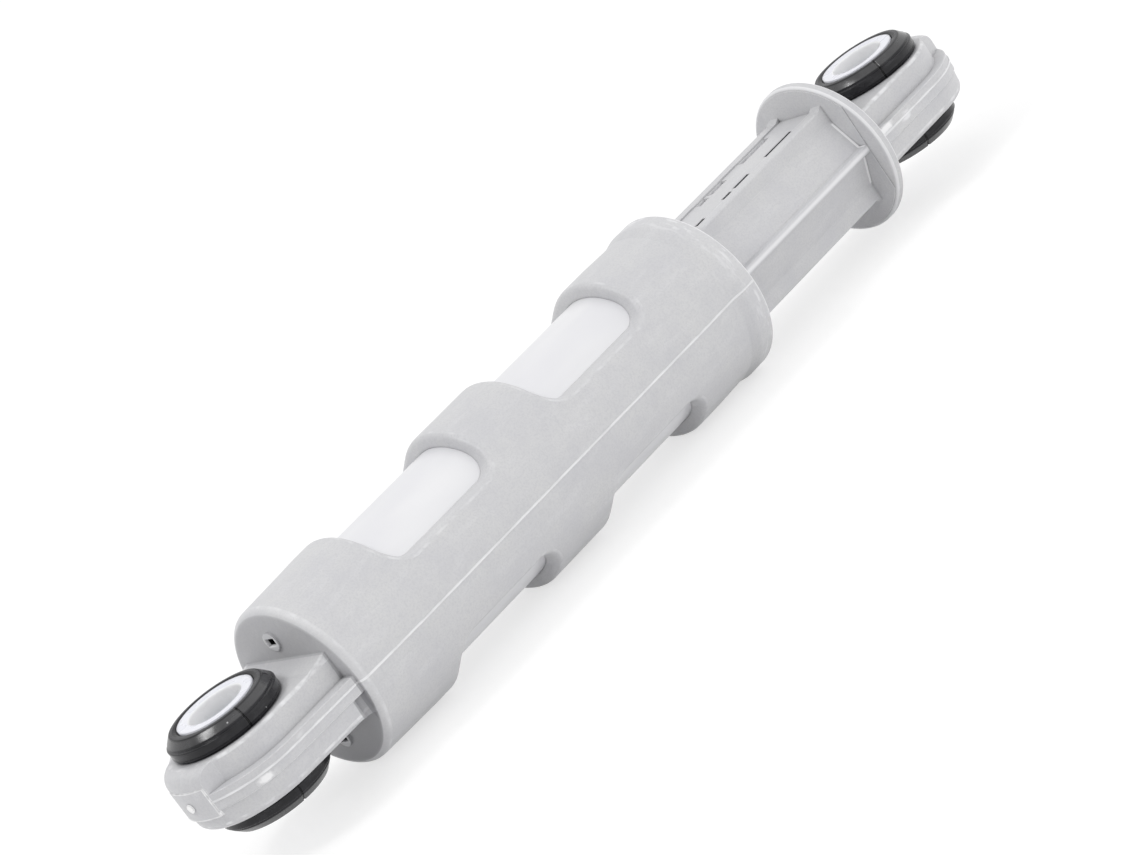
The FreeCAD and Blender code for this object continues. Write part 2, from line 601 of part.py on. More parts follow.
def make_plunger():
    """The ribbed rod with its hollow head, stop flange and eye."""
    body = new_body("plunger")
    flange = new_sketch(body, "flange_circle", "YZ_Plane", "flange_face")
    draw_circle(flange, FLANGE)
    disc = extrude("Pad", body, flange, "flange_thickness", "flange")
    round_edges(body, disc, lambda edge: is_ring(edge, "x", "flange_face", FLANGE)
                or is_ring(edge, "x", FLANGE_BACK, FLANGE), "flange_round", "flange_rounding")

    section = new_sketch(body, "rod_section", "YZ_Plane", "(head_front - strap_sink)")
    draw_polygon(section, rod_section())
    rod = extrude("Pad", body, section, "flange_face - head_front + 2 * strap_sink", "rod")
    envelope = number(ENVELOPE)
    reach = number(SIDE_RIB)
    half_rod = number("flange_face - head_front") / 2

    def on_rib_tip(edge):
        """True for the long edges at the ribs' outer corners."""
        middle = edge.CenterOfMass
        long_edge = edge.BoundBox.XLength > half_rod
        on_rib = is_close(math.hypot(middle.y, middle.z), envelope) or is_close(abs(middle.y), reach)
        return long_edge and middle.x < number("flange_face") and on_rib

    round_edges(body, rod, on_rib_tip, "rod_round", "rod_rounding")

    field = new_sketch(body, "field_outline", "YZ_Plane", "(flange_face - flange_pad)")
    draw_field(field, f"({FLANGE} - flange_round)", SIDE_RIB)
    extrude("Pad", body, field, "flange_pad + flange_thickness / 2", "flange_field")

    for side, name in ((1, "near"), (-1, "far")):
        place = "(-(rib_outer))" if side > 0 else "(rib_outer)"
        brace = new_sketch(body, f"brace_outline_{name}", "XZ_Plane", place)
        for sign in ("", "-"):
            draw_polygon(brace, [
                ("(flange_face - brace_length)", f"{sign}({RIB_TOP} - rod_round)"),
                ("(flange_face)", f"{sign}({RIB_TOP} + brace_rise)"),
                ("(flange_face + flange_thickness / 2)", f"{sign}({RIB_TOP} + brace_rise)"),
                ("(flange_face + flange_thickness / 2)", f"{sign}({RIB_TOP} - rib_height / 2)"),
                ("(flange_face - brace_length)", f"{sign}({RIB_TOP} - rib_height / 2)")])
        extrude("Pad", body, brace, "rib_width", f"braces_{name}", back=side < 0)

    head = new_sketch(body, "head_profile")
    places = [HEAD_BACK]
    for width in ("collar_width", SEAT_LENGTH, "collar_width", SEAT_LENGTH, "collar_width"):
        places.append(f"({places[-1]} + {width})")
    outline = [(places[0], "0")]
    for i, radius in enumerate((HEAD_COLLAR, "head_core", HEAD_COLLAR, "head_core", HEAD_COLLAR)):
        outline += [(places[i], radius), (places[i + 1], radius)]
    draw_polygon(head, outline + [(places[-1], "0")])
    turn(body, head, "H_Axis", "head")

    add_eye(body, "eye_spacing", f"({FLANGE_BACK} - strap_sink)", "eye_radius", 1)
    cut_bush_seat(body, "eye_spacing")

    hollow = new_sketch(body, "hollow_circle", "YZ_Plane", HEAD_BACK)
    draw_circle(hollow, "rod_bore")
    extrude("Pocket", body, hollow, f"flange_face - rod_end_wall - {HEAD_BACK}", "hollow", back=True)

    slots = new_sketch(body, "slot_outlines", "XY_Plane", FIELD)
    for letter, _ in zip("abcd", SLOTS):
        far = f"(flange_face - slot_start_{letter} + slot_length_{letter})"
        near = f"(flange_face - slot_start_{letter})"
        for sign in ("", "-"):
            rows = (f"{sign}(slot_offset - slot_width / 2)", f"{sign}(slot_offset + slot_width / 2)")
            draw_polygon(slots, [(near, rows[0]), (far, rows[0]), (far, rows[1]), (near, rows[1])])
    extrude("Pocket", body, slots, "slot_depth", "slots")
    return body


def make_lining(label, first):
    """A friction lining: a foam strip wrapped round the head's core, with an open joint."""
    body = new_body(label)
    profile = new_sketch(body, "profile")
    last = f"({first} + lining_length)"
    bore = "(head_core + lining_play)"
    draw_polygon(profile, [(first, bore), (first, LINING), (last, LINING), (last, bore)])
    turn(body, profile, "H_Axis", "ring", f"360 - lining_gap / {LINING} * 180 / pi")
    return body


def make_rubber(label, middle):
    """The rubber bush of an eye: two flanges with coned faces and a waist in the eye's bore."""
    body = new_body(label, middle)
    profile = new_sketch(body, "profile", "XZ_Plane")
    band_top = "(eye_half_height + rubber_band)"
    upper = [
        (RUBBER_BORE, RUBBER_TOP), (f"({RUBBER_BORE} + rubber_rim_width)", RUBBER_TOP),
        ("rubber_shoulder", f"({band_top} + rubber_cone)"), ("rubber_flange", band_top),
        ("rubber_flange", "eye_half_height"), ("bush_seat_radius", "eye_half_height")]
    draw_polygon(profile, upper + [(x, f"(-({z}))") for x, z in reversed(upper)])
    rubber = turn(body, profile, "V_Axis", "rubber")
    rim = f"({RUBBER_BORE} + rubber_rim_width)"
    rubber = round_edges(body, rubber, lambda edge: is_ring(edge, "z", RUBBER_TOP, rim)
                         or is_ring(edge, "z", f"(-{RUBBER_TOP})", rim), "rubber_rim_round", "rim_rounding")
    round_edges(body, rubber, lambda edge: is_ring(edge, "z", "eye_half_height", "rubber_flange")
                or is_ring(edge, "z", "(-eye_half_height)", "rubber_flange"), "rubber_foot_round",
                "foot_rounding")
    return body


def make_sleeve(label, middle):
    """The hard inner sleeve of an eye, which the fixing bolt or pin goes through."""
    body = new_body(label, middle)
    profile = new_sketch(body, "profile", "XZ_Plane")
    draw_polygon(profile, [(x, f"{sign}({HALF_SLEEVE})") for x, sign in (
        ("sleeve_bore", "-"), ("sleeve_radius", "-"), ("sleeve_radius", ""), ("sleeve_bore", ""))])
    ring = turn(body, profile, "V_Axis", "ring")

    def is_bore_edge(edge):
        """True for the two rims of the bore."""
        curve = edge.Curve
        return isinstance(curve, Part.Circle) and is_close(curve.Radius, number("sleeve_bore"))

    round_edges(body, ring, is_bore_edge, "sleeve_round", "bore_rounding")
    return body


pieces = [make_housing(), make_tube(), make_guide(), make_plunger()]
lining_start = f"({HEAD_BACK} + collar_width + lining_play)"
pieces.append(make_lining("friction_lining_inner", lining_start))
pieces.append(make_lining("friction_lining_outer", f"({lining_start} + {SEAT_LENGTH} + collar_width)"))
for eye, middle in (("housing_eye", "0"), ("plunger_eye", "eye_spacing")):
    pieces.append(make_rubber(eye + "_rubber_bush", middle))
    pieces.append(make_sleeve(eye + "_sleeve", middle))
doc.recompute()

for item in doc.Objects:
    if "Invalid" in item.State or "Error" in item.State:
        raise RuntimeError(f"{item.Name} did not build: {item.State}")
    if item.isDerivedFrom("PartDesign::Feature") and (item.Shape.isNull() or not item.Shape.isValid()):
        raise RuntimeError(f"{item.Name} has no valid shape")
    if item.isDerivedFrom("PartDesign::Pocket"):
        before = item.BaseFeature.Shape.Volume
        if item.Shape.Volume > before - NEAR:
            raise RuntimeError(f"{item.Name} cuts nothing")
for piece in pieces:
    shape = piece.Shape
    if shape.isNull() or not shape.isValid() or len(shape.Solids) != 1:
        raise RuntimeError(f"{piece.Label} has no valid shape of one solid")

os.makedirs("parts", exist_ok=True)
for piece in pieces:
    piece.Shape.exportStep(os.path.join("parts", piece.Label + ".step"))
    print(f"{piece.Label}: {len(piece.Shape.Solids)} solid, {piece.Shape.Volume / 1000:.2f} cm3")
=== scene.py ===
import json
import math

import bpy
from mathutils import Matrix, Vector


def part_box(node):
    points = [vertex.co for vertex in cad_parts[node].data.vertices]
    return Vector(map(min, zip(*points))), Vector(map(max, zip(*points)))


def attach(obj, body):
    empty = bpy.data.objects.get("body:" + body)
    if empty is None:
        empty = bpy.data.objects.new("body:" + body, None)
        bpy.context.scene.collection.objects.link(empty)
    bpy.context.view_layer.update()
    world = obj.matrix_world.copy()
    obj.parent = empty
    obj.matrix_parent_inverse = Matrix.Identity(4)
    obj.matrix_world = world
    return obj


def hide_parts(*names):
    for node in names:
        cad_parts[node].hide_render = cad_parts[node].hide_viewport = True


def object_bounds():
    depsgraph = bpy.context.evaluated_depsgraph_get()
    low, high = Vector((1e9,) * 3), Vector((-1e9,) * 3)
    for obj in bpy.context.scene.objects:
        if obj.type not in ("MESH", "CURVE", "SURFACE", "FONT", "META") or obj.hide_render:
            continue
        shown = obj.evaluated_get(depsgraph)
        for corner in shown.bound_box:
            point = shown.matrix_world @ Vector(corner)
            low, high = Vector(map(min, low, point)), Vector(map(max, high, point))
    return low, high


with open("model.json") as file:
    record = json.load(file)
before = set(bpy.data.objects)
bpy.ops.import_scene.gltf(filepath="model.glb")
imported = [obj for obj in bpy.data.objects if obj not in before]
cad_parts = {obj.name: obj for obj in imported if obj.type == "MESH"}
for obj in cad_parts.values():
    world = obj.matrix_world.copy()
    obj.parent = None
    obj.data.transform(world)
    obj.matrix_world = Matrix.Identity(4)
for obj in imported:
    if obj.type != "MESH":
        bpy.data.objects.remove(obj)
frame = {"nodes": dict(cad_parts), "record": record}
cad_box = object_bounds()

MM = 0.001
near_eye, far_eye = (Vector(mount["pos_m"]) for mount in frame["record"]["mounts"])

# The camera looks at a point near the damper's middle. Its angles are in degrees. The frame's size and the
# focal length are in the photograph's pixels
FRAME_SIZE = (1140, 855)
CAMERA_TARGET = Vector((106.7, 3.9, -2.3)) * MM
CAMERA_DISTANCE = 840 * MM
CAMERA_AZIMUTH = -33.63
CAMERA_ELEVATION = 16.17
CAMERA_ROLL = -35.21
FOCAL_LENGTH_PX = 4032
SENSOR_WIDTH = 36.0

WHITE = (1, 1, 1, 1)

# The floor's half width in metres, its plain grey, and the grey and glow that show where the camera sees it
FLOOR_REACH = 3.0
FLOOR_GREY = (0.85, 0.85, 0.85, 1)
SHADOW_GREY = (0.4, 0.4, 0.4, 1)
FLOOR_GLOW = 0.66

# The surround's light, from the housing's end to past the middle, and the directions between which it rises
SURROUND_LIGHT = (0.58, 0.97)
SURROUND_RISE = (-0.9, 0.1)

# All lengths from here on are in millimetres. Places along the damper count from the frame's origin, and
# heights and sides from the damper's axis. A pair is a range, from low to high
NEAR_EYE = near_eye.x / MM
FAR_EYE = far_eye.x / MM
HOUSING_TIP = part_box("housing")[0].x / MM
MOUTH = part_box("housing")[1].x / MM
PLUNGER_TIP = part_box("plunger")[1].x / MM

# The soft edge of the moulding line's painted highlight above and below the middle, and how far it runs
# either side of the far eye
LINE_EDGE = (0.18, 0.32)
FAR_LINE_REACH = 20

# The straps that run round the eyes: where they end at their roots, and their edges and middle band, which
# carry painted highlights.
# The edges are ranges of height, and of radius about the nearer eye
NEAR_ROOT = NEAR_EYE + 18.2
FAR_ROOT = FAR_EYE - 20.7
UPPER_EDGE_HEIGHT = (6.4, 7.9)
UPPER_EDGE_RADIUS = (13.7, 14.2)
LOWER_EDGE_HEIGHT = (-5.8, -5.45)
LOWER_EDGE_RADIUS = (14, 15)
MIDDLE_BAND = (-1.9, 1.6)

# The gate pad on the housing's tip: its edges, where it ends along the damper for the moulding line and for
# its frame, the frame's upright and level lines with their painted highlights, and the face of the nub in
# its middle, painted as a highlight
PAD_SIDE = (5.9, 6.1)
PAD_HEIGHT = (3.3, 3.45)
PAD_LINE_END = (-14, -13)
PAD_FRAME_END = (-14.5, -14)
FRAME_SIDE = (5.75, 6.1)
FRAME_HEIGHT = (3.2, 3.45)
NUB_FACE = (-17.4, -17.3)

# The housing's barrel and mouth: its outside's radius, the collar's start, the streaked band and the lip,
# which carry painted highlights
BARREL_RADIUS = (18.5, 19.2)
COLLAR_START = (MOUTH - 22, MOUTH - 20)
MOUTH_BAND = (MOUTH - 6, MOUTH - 1)
MOUTH_LIP = (MOUTH - 0.6, MOUTH - 0.2)

# The closed end: its face, painted with shade, the heights over which that shade gets paler, the rounding
# round it with its painted highlight, and its side hollows with their painted shadow
CLOSED_FACE = (17.7, 18.4)
FACE_HEIGHT = (-8, 8)
FACE_ROUNDING = (18.5, 19.8)
FACE_ROUNDING_RADIUS = (18, 18.6)
HOLLOW_LENGTH = (15.3, 18.2)
HOLLOW_SIDE = (15.9, 17.6)
HOLLOW_TOP = (-2.5, -2.3)

# The two vents in the closed end: their middles from the axis, half their height and width, their edge,
# where the painted shade inside begins, and the rim round it with its painted highlight, both as reaches
# beyond the opening, how deep both show, and the low bosses about them
VENT_OFFSET = 12.2
VENT_HALF_HEIGHT = 0.85
VENT_HALF_WIDTH = 1.45
VENT_EDGE = (0.05, 0.12)
VENT_DEPTH = (18.6, 23)
VENT_RIM = (0.1, 0.5)
VENT_RIM_DEPTH = (18.4, 18.6)
BOSS_RADIUS = (2.0, 2.2)
BOSS_FACE = (18.2, 18.3)

# The plunger: the flange with its rim's edges and its welt, which carry painted highlights, the rod's end
# before it, the rod's side ribs, and the two rows of slots in the rod's top, one with painted shade and one
# with painted light
FLANGE_FACE = PLUNGER_TIP - 40.35
ROD_END = (FLANGE_FACE - 0.4, FLANGE_FACE - 0.2)
FLANGE_MIDDLE = FLANGE_FACE + 1.2
FLANGE_EDGE = (0.75, 1.1)
FLANGE_RADIUS = (17.9, 18.4)
WELT_LENGTH = (FLANGE_FACE - 0.9, FLANGE_FACE - 0.42)
WELT_SIDE = (9.4, 14.4)
RIB_SIDE = (13.0, 13.8)
RIB_SHINE = (0.05, 0.75)
SLOT_SIDE = (3.2, 5.5)
SLOT_HEIGHT = (9.3, 11.6)
BETWEEN_ROWS = (-0.1, 0.1)

# The largest painted highlights, on the housing's strap and on the plunger's
HOUSING_HIGHLIGHT_SPOT = (-8.4, -14.9, -1.3)
PLUNGER_HIGHLIGHT_SPOT = (FAR_EYE - 18.2, -17.0, 1.1)

# The rubber bushes' seams: their angles about the bores, the cut's depth and half width, how far it wanders
# and how fast, the share of its depth that the top has, and the soft edge of its dark line
NEAR_SEAM = math.radians(-102)
FAR_SEAM = math.radians(-115)
SEAM_DEPTH = 0.22
SEAM_HALF_WIDTH = 0.16
SEAM_WANDER = 0.12
SEAM_WANDER_PER_MM = 1.7
SEAM_TOP_SHARE = 0.8
SEAM_LINE = (0.08, 0.2)

# The rubber bushes' section: the clearance round the sleeve, how far from there the lip stays plain, the
# drops of the shoulder and the band from the top, and the height of the band's foot above the middle
SLEEVE_CLEARANCE = 0.03
PLAIN_LIP = 0.2
SHOULDER_DROP = 1.55
BAND_DROP = 2.1
BAND_FOOT = 6.9

# The bushes' unevenness, as waves with their count round the bush, their turn and their height, and the
# steps of their mesh round the bush and round each corner of the section
UNEVEN_WAVES = ((3, 0.4, 0.025), (5, 1.3, 0.015))
BUSH_SEGMENTS = 480
CORNER_STEPS = 5

# What the rubber's and sleeves' colours mark, among them painted highlights, painted light and painted
# shade: ranges of radius about the eye and of height above its middle
LIP_RADIUS = (9.2, 9.5)
CREST_RADIUS = (10.1, 10.5)
CREST_HEIGHT = (11.0, 11.2)
CONE_RADIUS = (10.6, 11.2)
CONE_HEIGHT = (9.9, 10.3)
BORE_RADIUS = (6.2, 6.5)
SLEEVE_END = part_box("housing_eye_sleeve")[1].z / MM
BORE_DEPTH = (SLEEVE_END - 7, SLEEVE_END - 1.5)


class Nodes:
    """The nodes of a material or the world, with short calls that add and join them."""

    def __init__(self, owner):
        owner.use_nodes = True
        self.tree = owner.node_tree
        self.tree.nodes.clear()

    def connect(self, socket, value):
        """Joins another node's socket to this one, or sets its value."""
        if isinstance(value, bpy.types.NodeSocket):
            self.tree.links.new(value, socket)
        else:
            socket.default_value = value

    def add(self, kind, inputs=(), **settings):
        """A new node with its settings, and values or other nodes' sockets on its inputs."""
        node = self.tree.nodes.new(kind)
        for key, value in settings.items():
            setattr(node, key, value)
        for key, value in dict(inputs).items():
            self.connect(node.inputs[key], value)
        return node

    def compute(self, operation, first, second=0.0):
        """One step of arithmetic."""
        return self.add("ShaderNodeMath", {0: first, 1: second}, operation=operation).outputs[0]

    def product(self, first, *others):
        """All the values multiplied."""
        for value in others:
            first = self.compute("MULTIPLY", first, value)
        return first

    def largest(self, first, *others):
        """The largest of the values."""
        for value in others:
            first = self.compute("MAXIMUM", first, value)
        return first

    def fade(self, value, low, high, start=0.0, end=1.0):
        """A smooth change from start, where the value is low, to end, where it is high."""
        values = {"Value": value, "From Min": low, "From Max": high, "To Min": start, "To Max": end}
        return self.add("ShaderNodeMapRange", values, interpolation_type="SMOOTHSTEP").outputs["Result"]


class Graph(Nodes):
    """The nodes of a plastic or rubber material. Its place and the sizes in its calls are in millimetres."""

    def __init__(self, name):
        self.material = bpy.data.materials.new(name)
        super().__init__(self.material)
        coordinates = self.add("ShaderNodeTexCoord").outputs
        self.own_normal = coordinates["Normal"]
        self.place = self.vector("MULTIPLY", coordinates["Object"], (1 / MM, 1 / MM, 1 / MM))
        self.x, self.y, self.z = self.add("ShaderNodeSeparateXYZ", {0: self.place}).outputs

    def absolute(self, value):
        """The value without its sign."""
        return self.compute("ABSOLUTE", value)

    def distance(self, first, second):
        """The length of the diagonal of two numbers."""
        squares = [self.compute("MULTIPLY", number, number) for number in (first, second)]
        return self.compute("SQRT", self.compute("ADD", *squares))

    def vector(self, operation, first, second=(0, 0, 0)):
        """One step of vector arithmetic, as a vector, or as a number for a dot product or a length."""
        node = self.add("ShaderNodeVectorMath", {0: first, 1: second}, operation=operation)
        return node.outputs["Value" if operation in ("DOT_PRODUCT", "LENGTH") else "Vector"]

    def noise(self, size, detail=2.0, rough=0.5, stretch=(1, 1, 1)):
        """Cloudy noise whose features are about the size, and longer along a stretched axis."""
        scaled = self.vector("MULTIPLY", self.place, tuple(1 / factor for factor in stretch))
        values = {"Vector": scaled, "Scale": 1 / size, "Detail": detail, "Roughness": rough}
        return self.add("ShaderNodeTexNoise", values).outputs[0]

    def cells(self, size):
        """The distances and colours of scattered cells of about the size."""
        return self.add("ShaderNodeTexVoronoi", {"Vector": self.place, "Scale": 1 / size}).outputs

    def fall(self, value, low, high):
        """1 up to low and 0 from high."""
        return self.fade(value, low, high, 1.0, 0.0)

    def between(self, value, low, high, soft):
        """1 where the value lies between low and high, fading over the soft width outside them."""
        return self.product(self.fade(value, low - soft, low), self.fall(value, high, high + soft))

    def mix(self, factor, first, second):
        """Two colours mixed: the first where the factor is 0, the second where it is 1."""
        node = self.add("ShaderNodeMix", data_type="RGBA")
        numbers = [socket for socket in node.inputs if socket.type == "VALUE"]
        colours = [socket for socket in node.inputs if socket.type == "RGBA"]
        for socket, value in ((numbers[0], factor), (colours[0], first), (colours[1], second)):
            self.connect(socket, value)
        return [socket for socket in node.outputs if socket.type == "RGBA"][0]

    def bump(self, height, strength, distance, normal=None):
        """The normal of a surface raised by the height times the distance."""
        values = {"Height": height, "Strength": strength, "Distance": distance * MM}
        if normal is not None:
            values["Normal"] = normal
        return self.add("ShaderNodeBump", values).outputs["Normal"]

    def rounded(self, radius):
        """The normal with every edge rounded by the radius."""
        return self.add("ShaderNodeBevel", {"Radius": radius * MM}, samples=6).outputs["Normal"]

    def openness(self, distance):
        """1 on open surfaces, and less in corners, as far from them as the distance."""
        return self.add("ShaderNodeAmbientOcclusion", {"Distance": distance * MM}, samples=8).outputs["AO"]

    def finish(self, shade, roughness, normal, specular=None):
        """The material, with the plastic or rubber surface itself added."""
        values = {"Base Color": shade, "Roughness": roughness, "Normal": normal}
        if specular is not None:
            values["Specular IOR Level"] = specular
        surface = self.add("ShaderNodeBsdfPrincipled", values).outputs[0]
        self.add("ShaderNodeOutputMaterial", {"Surface": surface})
        return self.material


def colour(red, green, blue):
    """A colour written as it shows on a screen, from 0 to 255, as the linear values that shaders take."""
    linear = [value / 12.92 if value <= 0.04045 else ((value + 0.055) / 1.055) ** 2.4
              for value in (red / 255, green / 255, blue / 255)]
    return (*linear, 1.0)


def cloudy_grey(graph, clouds):
    """Light grey with clouds, pale flow marks along the damper and a fine darker grain."""
    flow = graph.noise(2.2, stretch=(5, 1, 1))
    grain = graph.noise(0.45, rough=0.7)
    base = graph.mix(graph.fade(clouds, 0.3, 0.7), colour(202, 202, 205), colour(209, 209, 210))
    base = graph.mix(graph.fade(flow, 0.5, 0.75, 0.0, 0.35), base, colour(217, 217, 219))
    return graph.mix(graph.fade(grain, 0.4, 0.7, 0.0, 0.45), base, colour(190, 190, 194))


def paint_edge_highlights_and_corner_shade(graph, base, smooth):
    """Painted highlights in patches along sharp open edges, and painted shade in corners."""
    straight = graph.add("ShaderNodeNewGeometry").outputs["Normal"]
    open_air = graph.openness(1.6)
    sharp = graph.compute("SUBTRACT", 1.0, graph.vector("DOT_PRODUCT", smooth, straight))
    edge = graph.product(graph.fade(sharp, 0.005, 0.12), graph.fade(open_air, 0.7, 0.95))
    patchy = graph.fade(graph.noise(4), 0.3, 0.6, 0.45, 0.95)
    # Painted highlights along the open edges
    base = graph.mix(graph.product(edge, patchy), base, colour(242, 242, 244))
    # Painted shade in the corners
    return graph.mix(graph.fade(open_air, 0.15, 0.7, 0.8, 0.0), base, colour(84, 84, 88))


def paint_moulding_line_highlight(graph, base, start, end):
    """A painted highlight along the moulding line, thin and at the middle height, from start to end along
    the damper but not over the gate pad.

    It fades out over a millimetre beyond both ends.
    """
    # Painted highlight along the moulding line
    on_line = graph.fall(graph.absolute(graph.z), *LINE_EDGE)
    within = graph.product(graph.fade(graph.x, start - 1, start), graph.fall(graph.x, end, end + 1))
    patchy_highlight = graph.fade(graph.noise(6, detail=3.0), 0.3, 0.6, 0.55, 1.0)
    beside_pad = graph.fade(graph.absolute(graph.y), *PAD_SIDE)
    off_pad = graph.largest(beside_pad, graph.fade(graph.x, *PAD_LINE_END))
    line = graph.product(on_line, within, patchy_highlight, off_pad)
    return graph.mix(line, base, colour(244, 244, 246))


def paint_strap_highlights(graph, base):
    """Painted highlights in uneven patches along the straps' edges round both eyes, and painted highlight
    patches on the bands in their middles.
    """
    past_near = graph.compute("SUBTRACT", NEAR_EYE, graph.x)
    past_far = graph.compute("SUBTRACT", graph.x, FAR_EYE)
    radius = graph.distance(graph.largest(past_near, past_far, 0.0), graph.absolute(graph.y))
    near_strap = graph.fall(graph.x, NEAR_ROOT - 0.1, NEAR_ROOT)
    on_strap = graph.largest(near_strap, graph.fade(graph.x, FAR_ROOT, FAR_ROOT + 0.1))

    # Painted highlights along the straps' upper and lower edges
    upper = graph.product(graph.between(graph.z, *UPPER_EDGE_HEIGHT, 0.25),
                          graph.between(radius, *UPPER_EDGE_RADIUS, 0.5))
    lower = graph.product(graph.between(graph.z, *LOWER_EDGE_HEIGHT, 0.2),
                          graph.fade(radius, *LOWER_EDGE_RADIUS))
    uneven = graph.fade(graph.noise(2.5), 0.4, 0.7, 0.05, 0.6)
    edges = graph.product(graph.largest(upper, lower), on_strap, uneven)
    base = graph.mix(edges, base, colour(246, 246, 248))

    # Painted highlight patches on the middle bands
    highlight_patches = graph.fade(graph.noise(3, detail=1.0, stretch=(3, 3, 1)), 0.63, 0.75, 0.0, 0.65)
    middle = graph.product(graph.between(graph.z, *MIDDLE_BAND, 0.2), on_strap, highlight_patches)
    return graph.mix(middle, base, colour(248, 248, 250))


def paint_highlight_spot(graph, base, middle):
    """A small painted highlight with a ragged edge, longest along the damper."""
    spoke = graph.vector("MULTIPLY", graph.vector("SUBTRACT", graph.place, middle), (0.5, 1.0, 1.5))
    ragged = graph.product(graph.noise(1.2), 1.6)
    reach = graph.compute("ADD", graph.vector("LENGTH", spoke), ragged)
    return graph.mix(graph.fade(reach, 1.5, 2.5, 0.85, 0.0), base, colour(252, 252, 253))


def moulded_grey(name, line, marks, highlight_spot):
    """Light grey moulded plastic with a satin surface, a fine grain, a soft waviness, painted highlights on
    its edges and painted shade in its corners.

    The line is where the moulding line starts and ends, the marks are functions that each paint one feature
    of the piece, most of them painted highlights and painted shade, and the highlight spot is the middle of
    its painted highlight.
    """
    graph = Graph(name)
    clouds = graph.noise(11, detail=4.0, rough=0.65)
    smooth = graph.rounded(0.5)
    base = cloudy_grey(graph, clouds)
    base = paint_edge_highlights_and_corner_shade(graph, base, smooth)
    base = paint_moulding_line_highlight(graph, base, *line)
    for mark in (paint_strap_highlights, *marks):
        base = mark(graph, base)
    base = paint_highlight_spot(graph, base, highlight_spot)

    roughness = graph.fade(clouds, 0.3, 0.7, 0.34, 0.46)
    normal = graph.bump(graph.noise(0.45), 0.35, 0.025, smooth)
    normal = graph.bump(graph.noise(4, detail=1.0), 0.5, 0.06, normal)
    return graph.finish(base, roughness, normal)


def off_axis(graph):
    """The vector from the damper's axis straight out to the place."""
    return graph.vector("MULTIPLY", graph.place, (0, 1, 1))


def paint_window_rim_highlights(graph, base):
    """Patchy painted highlights on the rims round the windows, where the barrel's outside begins to turn
    away from the round.
    """
    outward = off_axis(graph)
    facing = graph.vector("DOT_PRODUCT", graph.vector("NORMALIZE", outward), graph.own_normal)
    turning = graph.product(graph.fade(facing, 0.86, 0.97), graph.fall(facing, 0.99, 0.9995))
    outside = graph.fade(graph.vector("LENGTH", outward), *BARREL_RADIUS)
    before_collar = graph.fall(graph.x, *COLLAR_START)
    patchy_highlight = graph.fade(graph.noise(2.5), 0.4, 0.7, 0.0, 0.5)
    rim = graph.product(turning, outside, before_collar, patchy_highlight)
    return graph.mix(rim, base, colour(230, 230, 232))


def paint_gate_pad_highlights(graph, base):
    """Broken painted highlights on the frame round the gate pad on the housing's tip, and a painted
    highlight on its nub's face.
    """
    side = graph.absolute(graph.y)
    height = graph.absolute(graph.z)
    # Painted highlights on the frame's lines
    upright = graph.product(graph.between(side, *FRAME_SIDE, 0.12), graph.fall(height, *PAD_HEIGHT))
    level = graph.product(graph.between(height, *FRAME_HEIGHT, 0.12), graph.fall(side, *PAD_SIDE))
    at_tip = graph.fall(graph.x, *PAD_FRAME_END)
    broken = graph.fade(graph.noise(1.5, detail=1.0), 0.4, 0.6, 0.5, 1.0)
    lines = graph.product(graph.largest(upright, level), at_tip, broken)
    base = graph.mix(lines, base, colour(250, 250, 251))
    # Painted highlight on the nub's face
    return graph.mix(graph.fall(graph.x, *NUB_FACE), base, colour(254, 254, 254))


def paint_mouth_highlights(graph, base):
    """A pale band round the mouth with streaks of painted highlight, and a painted highlight on the lip at
    its edge.
    """
    band = graph.fade(graph.x, *MOUTH_BAND)
    # Streaks of painted highlight on the band
    streaks = graph.fade(graph.noise(1.8, detail=3.0, stretch=(0.6, 2, 2)), 0.5, 0.68, 0.12, 0.7)
    base = graph.mix(graph.product(band, streaks), base, colour(234, 234, 236))
    # Painted highlight on the lip
    lip = graph.fade(graph.x, *MOUTH_LIP, 0.0, 0.85)
    return graph.mix(lip, base, colour(246, 246, 248))


def paint_closed_end_shade_and_highlight(graph, base):
    """The closed end: painted shade on its face, darker towards the foot, painted shadow in the hollows at
    its sides and a painted highlight on the rounding.
    """
    # Painted shade on the face, darker towards the foot
    darkness = graph.fade(graph.z, *FACE_HEIGHT, 0.75, 0.3)
    face = graph.product(graph.between(graph.x, *CLOSED_FACE, 0.1), darkness)
    base = graph.mix(face, base, colour(132, 132, 136))

    # Painted shadow in the side hollows
    along = graph.between(graph.x, *HOLLOW_LENGTH, 0.3)
    beside = graph.between(graph.absolute(graph.y), *HOLLOW_SIDE, 0.2)
    hollow = graph.product(along, graph.fall(graph.z, *HOLLOW_TOP), beside, 0.6)
    base = graph.mix(hollow, base, colour(112, 112, 116))

    # Painted highlight on the rounding
    radius = graph.vector("LENGTH", off_axis(graph))
    rounding = graph.product(graph.between(graph.x, *FACE_ROUNDING, 0.4),
                             graph.fade(radius, *FACE_ROUNDING_RADIUS), 0.2)
    return graph.mix(rounding, base, colour(236, 236, 238))


